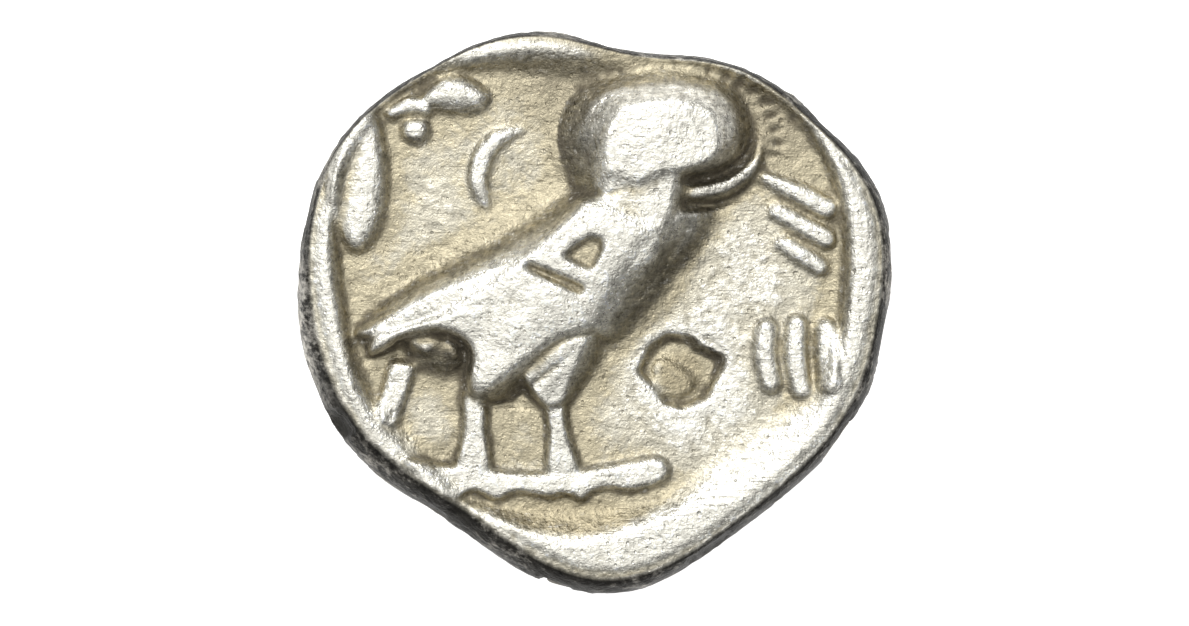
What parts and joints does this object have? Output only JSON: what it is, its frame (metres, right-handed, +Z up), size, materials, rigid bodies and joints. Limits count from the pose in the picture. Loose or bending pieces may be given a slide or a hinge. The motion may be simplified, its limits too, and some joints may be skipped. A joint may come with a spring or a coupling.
{
  "type": "tetradrachm coin",
  "caption": "Thick struck silver coin, an owl in a sunk square on one side and a helmeted head in high relief on the other, worn and test-punched.",
  "frame": {"origin": "under the middle of the flan's outline, on the plane that the worn high points of the head side rest on", "axes": "+Z up, out of the owl side; +Y towards the owl's head, so the owl stands upright; +X to the right as seen looking down on the owl"},
  "size_m": [0.025, 0.0236, 0.0057],
  "materials": {
    "silver": "struck silver, worn bright on the high points, with warm grey-brown toning in the low ground and dark grey on the edge"
  },
  "bodies": {
    "root": {"coin": "silver"}
  },
  "joints": []
}
